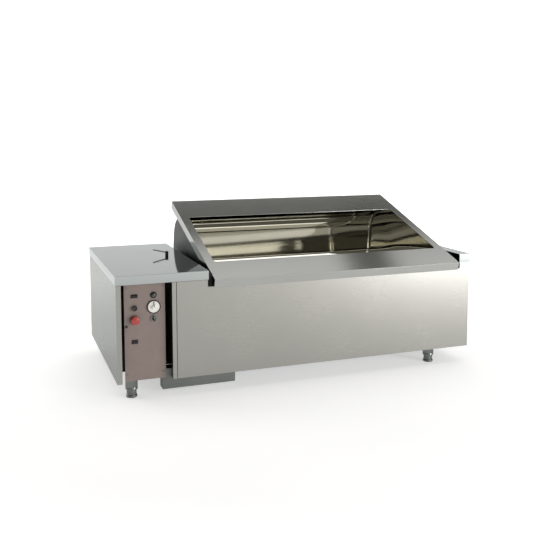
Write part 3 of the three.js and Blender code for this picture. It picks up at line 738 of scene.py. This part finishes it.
class FinishSettings(bpy.types.PropertyGroup):
    """Colours of the coloured finishes, each with lighter and darker patches."""

    lacquer_light: bpy.props.FloatVectorProperty(
        name="Panel lacquer",
        description="Lighter patches of the lacquer",
        default=colour("#8B7B75")[:3],
        subtype="COLOR",
    )
    lacquer_dark: bpy.props.FloatVectorProperty(
        name="Panel lacquer, dark",
        description="Darker patches of the lacquer",
        default=colour("#84756F")[:3],
        subtype="COLOR",
    )
    stop_light: bpy.props.FloatVectorProperty(
        name="Stop button",
        description="Lighter patches of its plastic",
        default=colour("#B43A38")[:3],
        subtype="COLOR",
    )
    stop_dark: bpy.props.FloatVectorProperty(
        name="Stop button, dark",
        description="Darker patches of its plastic",
        default=colour("#A53230")[:3],
        subtype="COLOR",
    )


class StageSettings(bpy.types.PropertyGroup):
    """Floor, backdrop and lights."""

    paper: bpy.props.FloatVectorProperty(
        name="Paper",
        description="Colour of the floor and backdrop",
        default=(0.9, 0.9, 0.9),
        subtype="COLOR",
    )
    # The paper's glow is painted light: its own emission, not a lamp behind it.
    glow: bpy.props.FloatProperty(
        name="Paper glow", description="How far the paper is lit from behind", default=0.47
    )
    ceiling: bpy.props.FloatProperty(
        name="Ceiling light", description="Brightness of the ceiling softboxes", default=0.95
    )
    front: bpy.props.FloatProperty(
        name="Front light", description="Brightness of the softbox behind the camera", default=1.8
    )
    side: bpy.props.FloatProperty(
        name="Side light",
        description="Power of the softbox at the right",
        default=105,
        unit="POWER",
    )


# ---- Stage ----
def paper_sweep(half_width, front, wall, top, sweep):
    """A floor that curves up into a low backdrop behind the bath."""
    floor = sheet("paper_sweep", (-half_width, front), (half_width, wall - sweep), 0)
    select(floor, "EDGE", lambda part, ends: all(end.y > wall - sweep - 0.01 for end in ends))
    bpy.ops.mesh.spin(steps=16, angle=-QUARTER, center=(0, wall - sweep, sweep), axis=(1, 0, 0))
    close()
    edge = max(vertex.co.z for vertex in floor.data.vertices)
    if edge < sweep * 0.9:
        raise RuntimeError("the backdrop's curve turned down instead of up")
    select(floor, "EDGE", lambda part, ends: all(end.z > edge - 0.01 for end in ends))
    bpy.ops.mesh.extrude_region_move(TRANSFORM_OT_translate={"value": (0, 0, top - edge)})
    close()
    return smooth(floor, 60)


def power_of(brightness, size):
    """The power of a softbox that shows with a brightness."""
    return brightness * math.pi * size[0] * size[1]


def softbox(name, place, target, size, power):
    """A rectangular lamp that faces a target."""
    bpy.ops.object.light_add(type="AREA", location=place)
    lamp = bpy.context.object
    lamp.name = name
    lamp.rotation_euler = (Vector(target) - Vector(place)).to_track_quat("-Z", "Y").to_euler()
    lamp.data.shape = "RECTANGLE"
    lamp.data.size, lamp.data.size_y = size
    lamp.data.energy = power


class BATH_OT_stage(bpy.types.Operator):
    """Add the floor, the backdrop, the lights and the camera"""

    bl_idname = "bath.stage"
    bl_label = "Stage"

    def execute(self, context):
        settings = context.scene.bath_stage
        sweep = 1.0
        floor = paper_sweep(half_width=7.0, front=-7.0, wall=3.4, top=3.3, sweep=sweep)
        floor.data.materials.append(studio_paper(settings, sweep))

        # A wide dim ceiling. The slit in it shows as a dark band on the rim, and its dim left part
        # keeps the right end of the polished tub dark.
        ceiling_height, ceiling_front, ceiling_back = 3.7, -1.6, 2.95
        for name, left, right, share in (
            ("ceiling_left", -5.0, -0.4, 0.3),
            ("ceiling_middle", -0.4, 2.25, 1.0),
            ("ceiling_right", 2.8, 5.0, 1.0),
        ):
            x, y = (left + right) / 2, (ceiling_front + ceiling_back) / 2
            size = (right - left, ceiling_back - ceiling_front)
            power = power_of(share * settings.ceiling, size)
            softbox(name, (x, y, ceiling_height), (x, y, 0), size, power)
        # Behind the camera: seen in the polished tub as its light floor and its bright streaks.
        size, (x, y, z) = (4.6, 2.8), (1.9, -6.5, 2.6)
        softbox("front_softbox", (x, y, z), (x, 0, z), size, power_of(settings.front, size))
        side = settings.side
        softbox("right_softbox", (3.3, -4.2, 0.8), (0.7, 0, 0.25), (2.0, 1.5), side)
        softbox("left_softbox", (-3.8, 2.0, 1.5), (-0.9, 0.3, 0.5), (1.8, 1.8), side * 0.4)

        world = bpy.data.worlds.new("dark_studio")
        context.scene.world = world
        world.use_nodes = True
        background = world.node_tree.nodes["Background"]
        background.inputs["Color"].default_value = colour("#706E68")
        background.inputs["Strength"].default_value = 1.0

        # The camera looks a little down from the front left, its lens shifted to frame the bath.
        looks_down, turns_right = math.radians(5.95), math.radians(20.62)
        bpy.ops.object.camera_add(
            location=(-1.3884, -3.7495, 1.1937), rotation=(QUARTER - looks_down, 0, -turns_right)
        )
        camera = context.object
        camera.name = "front_left_camera"
        camera.data.lens = 49.72
        camera.data.sensor_width = 36
        camera.data.shift_y = -0.125
        camera.data.clip_end = 60
        context.scene.camera = camera
        context.scene.view_settings.view_transform = "Standard"
        return {"FINISHED"}


# ---- Pieces ----
class BATH_OT_casing(bpy.types.Operator):
    """Add the folded panels of the casing, with their edges rounded"""

    bl_idname = "bath.casing"
    bl_label = "Casing"

    def execute(self, context):
        fold = context.scene.bath.fold_radius
        front, side, mill = satin_casing_steel(), satin_side_steel_painted_shade(), mill_steel()
        for node, material in (
            ("left_side_panel", side),
            ("right_side_panel", side),
            ("front_panel", front),
            ("front_post", front),
        ):
            remade(node, "folded", fold * 0.6, "cabinet", "casing_steel", material, 3)
        remade("back_panel", "flat", fold * 0.5, "cabinet", "casing_steel", front)
        for node in ("front_rail", "back_rail", "partition_panel"):
            remade(node, "bent", fold * 0.4, "cabinet", "frame_steel", mill)
        dress(mill, "service_floor", "well_floor", "control_enclosure")
        return {"FINISHED"}


class BATH_OT_worktops(bpy.types.Operator):
    """Add the two worktops with their turned-down edges"""

    bl_idname = "bath.worktops"
    bl_label = "Worktops"

    def execute(self, context):
        settings = context.scene.bath
        lever_hole = 8.6
        for node in ("left_worktop", "right_worktop"):
            low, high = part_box(node)
            top = tray(f"{node}_tray", low, high, settings.sheet_gauge)
            if node == "left_worktop":
                hub = middle("lever_hub")
                drilled(top, (hub.x, hub.y, high.z), lever_hole, reach=10)
            rounded(top, settings.fold_radius, 3)
            finish(top, "cabinet", "worktop_steel", bright_worktop_steel(), stands_for=(node,))
        return {"FINISHED"}


class BATH_OT_tub_rim(bpy.types.Operator):
    """Add the tub's rim: a tray with the mouth cut out and its side edges relieved"""

    bl_idname = "bath.tub_rim"
    bl_label = "Tub rim"

    def execute(self, context):
        settings, tub = context.scene.bath, context.scene.bath_tub
        low, high = level_box("tub_rim")
        shell_low, shell_high = level_box("tub_shell")
        rim = tray("tub_rim_tray", low, high, settings.sheet_gauge)
        above = 10 * MM
        mouth = block(
            "mouth",
            (shell_low.x + tub.wall, low.y + tub.mouth_front, high.z - above),
            (shell_high.x - tub.wall, low.y + tub.mouth_back, high.z + above),
        )
        select(mouth, "EDGE", lambda part, ends: abs(ends[0].z - ends[1].z) > above)
        bpy.ops.mesh.bevel(offset=tub.corner, segments=8, affect="EDGES")
        close()
        # The side edges are cut round about the shaft, in millimetres.
        relief, reach, sides = 113, 5, 96
        reliefs = [
            turned(
                "relief",
                (x - reach * MM, SHAFT.y, SHAFT.z),
                RIGHT,
                [(relief, 0), (relief, 2 * reach)],
                sides,
            )
            for x in (low.x, high.x)
        ]
        cut(rim, mouth, *reliefs)
        rounded(rim, settings.fold_radius, 3)
        tipped(rim)
        finish(rim, "tub", "casing_steel", rim_steel(), stands_for=("tub_rim",))
        return {"FINISHED"}


class BATH_OT_tub_shell(bpy.types.Operator):
    """Add the tub: a section drawn as one line, drawn out sideways and closed at its ends"""

    bl_idname = "bath.tub_shell"
    bl_label = "Tub shell"

    def execute(self, context):
        tub, gauge = context.scene.bath_tub, context.scene.bath.sheet_gauge
        low, high = level_box("tub_shell")
        rim_low, rim_high = level_box("tub_rim")
        x0, x1 = low.x + tub.wall, high.x - tub.wall
        floor_z, top = low.z + tub.wall, rim_high.z - gauge
        front, back = rim_low.y + tub.mouth_front, rim_low.y + tub.mouth_back
        # The back wall is an arc about the shaft, so that it clears the cabinet at every tilt.
        reach = high.y - tub.wall - SHAFT.y
        ride_in = reach - tub.shoulder_radius
        shoulder_y = SHAFT.y + ride_in * math.cos(tub.shoulder_angle)
        shoulder_z = SHAFT.z + ride_in * math.sin(tub.shoulder_angle)
        to_y, to_z = shoulder_y - back, shoulder_z - top
        lean = math.atan2(to_z, to_y) + math.asin(tub.shoulder_radius / math.hypot(to_y, to_z))
        rise = floor_z + tub.back_fillet - SHAFT.z
        back_angle = math.asin(rise / (reach - tub.back_fillet))
        back_centre = SHAFT.y + (reach - tub.back_fillet) * math.cos(back_angle)

        deselect()
        bpy.ops.mesh.primitive_plane_add(size=0.01, location=(x0, front, top))
        shell = settled("tub_shell_swept")
        select(shell, "VERT", everything)
        bpy.ops.mesh.merge(type="CENTER")

        def straight(dy, dz):
            bpy.ops.mesh.extrude_vertices_move(TRANSFORM_OT_translate={"value": (0, dy, dz)})

        def arc(y, z, turn, steps):
            # The spin operator turns the other way from the angles of the section.
            bpy.ops.mesh.spin(steps=steps, angle=-turn, center=(x0, y, z), axis=(1, 0, 0))

        def line_end():
            """Where the line has got to: the vertex that is still selected."""
            close()
            point = [vertex.co.copy() for vertex in shell.data.vertices if vertex.select][-1]
            bpy.ops.object.mode_set(mode="EDIT")
            return point

        straight(0, floor_z + tub.front_fillet - top)
        arc(front + tub.front_fillet, floor_z + tub.front_fillet, QUARTER, 12)
        here = line_end()
        straight(back_centre - here.y, floor_z - here.z)
        arc(back_centre, floor_z + tub.back_fillet, back_angle + QUARTER, 12)
        arc(SHAFT.y, SHAFT.z, tub.shoulder_angle - back_angle, 24)
        arc(shoulder_y, shoulder_z, lean + QUARTER - tub.shoulder_angle, 20)
        here = line_end()
        straight(back - here.y, top - here.z)
        bpy.ops.mesh.select_all(action="SELECT")
        bpy.ops.mesh.remove_doubles(threshold=0.01 * MM)
        bpy.ops.mesh.select_all(action="SELECT")
        bpy.ops.mesh.extrude_edges_move(TRANSFORM_OT_translate={"value": (x1 - x0, 0, 0)})
        close()
        for x in (x0, x1):
            select(shell, "EDGE", lambda part, ends: all(abs(end.x - x) < SAME for end in ends))
            bpy.ops.mesh.edge_face_add()
            close()
        select(shell, "FACE", everything)
        bpy.ops.mesh.normals_make_consistent(inside=True)
        close()
        # The faces have to point into the tub, so the floor's has to point up.
        floor_face = min(shell.data.polygons, key=lambda face: face.center.z)
        if floor_face.normal.z < 0:
            select(shell, "FACE", everything)
            bpy.ops.mesh.flip_normals()
            close()
        select(
            shell,
            "EDGE",
            lambda part, ends: abs(ends[0].x - ends[1].x) < SAME
            and not all(abs(end.z - top) < SAME for end in ends),
        )
        bpy.ops.mesh.bevel(offset=tub.corner, segments=6, affect="EDGES")
        close()
        # Mirror steel inside; outside the dull steel whose dark tone is painted shade.
        paint(shell, mirror_tub_steel(), dull_tub_steel_painted_shade())
        modify(
            shell,
            "SOLIDIFY",
            thickness=tub.wall,
            offset=-1.0,
            use_even_offset=True,
            use_rim=True,
            material_offset=1,
            material_offset_rim=1,
        )
        drain_low, drain_high = level_box("drain_spigot")
        drain, drain_hole = (drain_low + drain_high) / 2, 22
        drilled(shell, (drain.x, drain.y, floor_z), drain_hole, reach=20)
        smooth(shell, 30)
        tipped(shell)
        finish(shell, "tub", "tub_steel", stands_for=("tub_shell",))
        return {"FINISHED"}


class BATH_OT_tub_fittings(bpy.types.Operator):
    """Add the drain, probe, heater, end jackets and shaft that go with the tub"""

    bl_idname = "bath.tub_fittings"
    bl_label = "Tub fittings"

    def execute(self, context):
        machined = machined_steel()
        for node in ("drain_spigot", "temperature_probe"):
            remade(node, "turned", 0.6 * MM, "tub", "casing_steel", machined)
        # The end jackets take the tub's outside steel, whose dark tone is painted shade.
        for node in ("tub_jacket_left", "tub_jacket_right"):
            remade(node, "folded", 1.5 * MM, "tub", "casing_steel", dull_tub_steel_painted_shade(), 3)
        remade("tilt_shaft", "turned", 0.8 * MM, "tub", "casing_steel", machined)
        dress(anodised_alloy(), "heating_plate")
        return {"FINISHED"}


class BATH_OT_control_panel(bpy.types.Operator):
    """Add the lacquered control panel with its screws and latch"""

    bl_idname = "bath.control_panel"
    bl_label = "Control panel"

    def execute(self, context):
        lacquer = control_lacquer()
        remade("control_panel", "lacquered", 0.7 * MM, "cabinet", "control_paint", lacquer)
        low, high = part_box("control_panel")
        from_side, from_bottom, from_top = 9 * MM, 30 * MM, 18 * MM
        places = [
            (x, low.y, z)
            for x in (low.x + from_side, high.x - from_side)
            for z in (low.z + from_bottom, high.z - from_top)
        ]
        screws("control_panel_screws", FRONT, 3.4, places)
        remade("panel_latch", "knob", 0.5 * MM, "panel_latch", "black_plastic", black_abs(), 3)
        return {"FINISHED"}


class BATH_OT_buttons(bpy.types.Operator):
    """Add the pilot lamp, the push button and the stop button with their collars"""

    bl_idname = "bath.buttons"
    bl_label = "Lamp and buttons"

    def execute(self, context):
        ring = turned("pilot_lamp_ring", on_panel("pilot_lamp"), FRONT, LAMP_RING)
        finish(ring, "cabinet", "black_plastic", black_abs())
        lens = turned("pilot_lamp_lens", on_panel("pilot_lamp"), FRONT, LAMP_LENS)
        finish(lens, "cabinet", "lamp_lens", lamp_plastic(), stands_for=("pilot_lamp",))
        push = turned("push_button_cap", on_panel("push_button"), FRONT, PUSH_CAP)
        finish(push, "push_button", "black_plastic", black_abs(), stands_for=("push_button",))
        stop = turned("stop_button_mushroom", on_panel("stop_button"), FRONT, STOP_MUSHROOM, 64)
        finish(stop, "stop_button", "red_plastic", red_plastic(), stands_for=("stop_button",))
        remade("stop_collar", "ring", 0.6 * MM, "cabinet", "black_plastic", black_abs())
        return {"FINISHED"}


class BATH_OT_thermostat(bpy.types.Operator):
    """Add the thermostat's dial, pointer, scale marks and bezel"""

    bl_idname = "bath.thermostat"
    bl_label = "Thermostat"

    def execute(self, context):
        centre = on_panel("thermostat_dial")
        black, white = black_abs(), dial_plastic()
        remade("dial_bezel", "ring", 0.7 * MM, "cabinet", "black_plastic", black, 3)
        dial = turned("thermostat_dial_disc", centre, FRONT, DIAL_DISC, 64)
        finish(dial, "thermostat_dial", "dial_white", white, stands_for=("thermostat_dial",))
        knob = turned("thermostat_knob", centre, FRONT, DIAL_KNOB, 32)
        finish(knob, "thermostat_dial", "dial_white", white)
        # The pointer runs over the knob's end and on over the dial, in millimetres from its centre.
        bars = [
            block(name, centre + MM * Vector(low), centre + MM * Vector(high))
            for name, low, high in (
                ("thermostat_pointer", (-1.3, -17.8, 1.0), (1.3, -16.8, 8.5)),
                ("hand", (-1.6, -8.6, 10.5), (1.6, -6.8, 23.5)),
            )
        ]
        marks = joined("thermostat_pointer", *[rounded(bar, 0.2 * MM) for bar in bars])
        finish(marks, "thermostat_dial", "black_plastic", black)
        # Eleven raised ticks stand round the dial, every fifth one longer.
        inner, long, short = 33.5 * MM, 4.2 * MM, 2.8 * MM
        half_width, half_depth = 0.5 * MM, 0.4 * MM
        count, first, step = 11, -135, 27
        ticks = []
        for i in range(count):
            turn = math.radians(first + step * i)
            out = Vector((math.sin(turn), 0, math.cos(turn)))
            length = long if i % 5 == 0 else short
            corner = Vector((half_width, half_depth, length / 2))
            tick = block("tick", -corner, corner)
            place = centre + out * (inner + length / 2) + FRONT * (half_depth / 2)
            ticks.append(placed(tick, place, (0, turn, 0)))
        finish(joined("thermostat_scale_marks", *ticks), "cabinet", "dial_white", white)
        return {"FINISHED"}


class BATH_OT_selector(bpy.types.Operator):
    """Add the selector switch and its collar"""

    bl_idname = "bath.selector"
    bl_label = "Selector switch"

    def execute(self, context):
        collar = machined_steel()
        remade("selector_collar", "ring", 0.6 * MM, "cabinet", "casing_steel", collar, 3)
        switch = "selector_switch"
        lever = softened("selector_lever", switch, 0.7 * MM, 3)
        finish(lever, switch, "black_plastic", black_abs(), stands_for=(switch,))
        # A white line is let into the lever's face, from near its top down.
        low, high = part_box(switch)
        x, half_width, proud, deep = middle(switch).x, 0.6 * MM, 0.02 * MM, 0.3 * MM
        line = block(
            "selector_line",
            (x - half_width, low.y - proud, high.z - 8 * MM),
            (x + half_width, low.y + deep, high.z - 1.2 * MM),
        )
        finish(rounded(line, 0.1 * MM), switch, "dial_white", dial_plastic())
        return {"FINISHED"}


class BATH_OT_keys(bpy.types.Operator):
    """Add the two rocker keys in their frames"""

    bl_idname = "bath.keys"
    bl_label = "Rocker keys"

    def execute(self, context):
        for key in ("power_key", "tilt_key"):
            surround = softened(f"{key}_surround", f"{key}_frame", 0.7 * MM, 3)
            finish(surround, "cabinet", "black_plastic", black_abs(), stands_for=(f"{key}_frame",))
            remade(key, "paddle", 0.5 * MM, key, "black_plastic", black_abs(), 3)
        return {"FINISHED"}


class BATH_OT_fill_lever(bpy.types.Operator):
    """Add the fill lever: a moulded hub and a bright bent rod with a rounded tip"""

    bl_idname = "bath.fill_lever"
    bl_label = "Fill lever"

    def execute(self, context):
        remade("lever_hub", "moulded", 0.9 * MM, "fill_lever", "black_plastic", black_abs(), 3)
        remade("lever_rod", "bar", 1.0 * MM, "fill_lever", "worktop_steel", machined_steel(), 3)
        return {"FINISHED"}


class BATH_OT_feet(bpy.types.Operator):
    """Add the feet: sleeves with a turned collar, and adjusters with a rolled foot"""

    bl_idname = "bath.feet"
    bl_label = "Feet"

    def execute(self, context):
        sides = 56
        for corner in FOOT_CORNERS:
            sleeve_node, foot_node = f"foot_sleeve_{corner}", f"foot_adjuster_{corner}"
            low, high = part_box(sleeve_node)
            centre = middle(sleeve_node)
            on_floor = (centre.x, centre.y, 0)
            base, top = low.z / MM, high.z / MM
            profile = [
                (20.6, base + 60), (20.6, base + 0.6), (21.2, base), (26.6, base),
                (27.5, base + 0.9), (27.5, base + 9), (27, base + 9.8), (27, base + 11),
                (27.5, base + 11.8), (27.5, top - 0.6), (26.9, top), (1, top),
            ]
            sleeve = turned(f"{sleeve_node}_turned", on_floor, UP, profile, sides)
            finish(sleeve, "cabinet", "casing_steel", machined_steel(), stands_for=(sleeve_node,))
            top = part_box(foot_node)[1].z / MM
            profile = [
                (22, 0), (24, 1.5), (25, 4), (25, 9), (24.6, 10), (22, 13.6), (22, 20),
                (21.4, 20.6), (21.4, 22), (22, 22.6), (22, 35.4), (21.4, 36), (20, 36),
                (20, top - 1), (19, top), (1, top),
            ]
            foot = turned(f"{foot_node}_turned", on_floor, UP, profile, sides)
            finish(foot, f"foot_{corner}", "frame_steel", mill_steel(), stands_for=(foot_node,))
        return {"FINISHED"}


class BATH_OT_sump(bpy.types.Operator):
    """Add the shallow box under the front, and the black rubber buffer under the rim's corner,
    which also stands as painted shade for the dark gap there
    """

    bl_idname = "bath.sump"
    bl_label = "Sump box and buffer"

    def execute(self, context):
        remade("sump_box", "folded", 0.8 * MM, "cabinet", "frame_steel", mill_steel(), 3)
        # The buffer's black is partly painted shade: it fills the dark gap between the worktop and
        # the rim's corner.
        remade("rim_buffer", "moulded", 1.2 * MM, "cabinet", "rubber", rubber(), 3)
        return {"FINISHED"}


class BATH_OT_drive(bpy.types.Operator):
    """Add the gears, the gearbox with its bolts, the tilt motor and their shelf"""

    bl_idname = "bath.drive"
    bl_label = "Tilt drive"

    def execute(self, context):
        for node, body in (("drive_pinion", "pinion"), ("sector_gear", "tub")):
            remade(node, "cut", 0.25 * MM, body, "gear_steel", gear_steel(), 1)
        remade("gearbox", "cast", 2 * MM, "cabinet", "cast_housing", cast_paint(), 3)
        corner_bolts("gearbox", LEFT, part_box("gearbox")[0].x, 5.0)
        remade("tilt_motor", "cast", 1.2 * MM, "cabinet", "cast_housing", cast_paint())
        remade("drive_shelf", "bent", 0.6 * MM, "cabinet", "frame_steel", mill_steel())
        return {"FINISHED"}


class BATH_OT_bearings(bpy.types.Operator):
    """Add the shaft's two flanged bearings, their bolts and the stand at the right"""

    bl_idname = "bath.bearings"
    bl_label = "Bearings"

    def execute(self, context):
        flange = 12 * MM
        for node, side in (("left_bearing", RIGHT), ("right_bearing", LEFT)):
            remade(node, "cast", 1.5 * MM, "cabinet", "cast_housing", cast_paint(), 3)
            low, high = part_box(node)
            corner_bolts(node, side, low.x + flange if side is RIGHT else high.x - flange, 5.5)
        stand = "right_bearing_stand"
        remade(stand, "bent", 0.6 * MM, "cabinet", "frame_steel", mill_steel())
        return {"FINISHED"}


class BATH_OT_plumbing(bpy.types.Operator):
    """Add the fill valve, the pipe, the rotary union, the inlet and the cable gland"""

    bl_idname = "bath.plumbing"
    bl_label = "Plumbing"

    def execute(self, context):
        for node in ("fill_valve", "rotary_union", "water_inlet"):
            remade(node, "machined", 0.6 * MM, "cabinet", "brass", turned_brass())
        remade("fill_pipe", "drawn", 0, "cabinet", "casing_steel", machined_steel())
        remade("cable_gland", "moulded", 0.5 * MM, "cabinet", "black_plastic", black_abs())
        return {"FINISHED"}


class BATH_OT_fasteners(bpy.types.Operator):
    """Add the screws that hold the back panel"""

    bl_idname = "bath.fasteners"
    bl_label = "Panel screws"

    def execute(self, context):
        low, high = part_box("back_panel")
        inset, columns = 12 * MM, 6
        places = [
            (x, high.y, z)
            for x in spaced(low.x, high.x, inset, columns)
            for z in spaced(low.z, high.z, inset)
        ]
        screws("back_panel_screws", BACK, 4.0, places)
        return {"FINISHED"}


PIECE_OPERATORS = (
    BATH_OT_stage,
    BATH_OT_casing,
    BATH_OT_worktops,
    BATH_OT_tub_rim,
    BATH_OT_tub_shell,
    BATH_OT_tub_fittings,
    BATH_OT_control_panel,
    BATH_OT_buttons,
    BATH_OT_thermostat,
    BATH_OT_selector,
    BATH_OT_keys,
    BATH_OT_fill_lever,
    BATH_OT_feet,
    BATH_OT_sump,
    BATH_OT_drive,
    BATH_OT_bearings,
    BATH_OT_plumbing,
    BATH_OT_fasteners,
)


class BATH_PT_panel(bpy.types.Panel):
    """The bath's pieces and sizes"""

    bl_idname = "BATH_PT_panel"
    bl_label = "Tilting water bath"
    bl_space_type = "VIEW_3D"
    bl_region_type = "UI"
    bl_category = "Water bath"

    def draw(self, context):
        for operator in PIECE_OPERATORS:
            self.layout.operator(operator.bl_idname)
        for scene_name, group in SETTINGS.items():
            for name in group.__annotations__:
                self.layout.prop(getattr(context.scene, scene_name), name)


SETTINGS = {
    "bath": BathSettings,
    "bath_tub": TubSettings,
    "bath_finish": FinishSettings,
    "bath_stage": StageSettings,
}
CLASSES = (*SETTINGS.values(), *PIECE_OPERATORS, BATH_PT_panel)


def register():
    for cls in CLASSES:
        bpy.utils.register_class(cls)
    for name, group in SETTINGS.items():
        setattr(bpy.types.Scene, name, bpy.props.PointerProperty(type=group))


def unregister():
    for name in SETTINGS:
        delattr(bpy.types.Scene, name)
    for cls in reversed(CLASSES):
        bpy.utils.unregister_class(cls)


def main():
    register()
    for operator in PIECE_OPERATORS:
        group, name = operator.bl_idname.split(".")
        getattr(getattr(bpy.ops, group), name)()


if __name__ == "__main__":
    main()
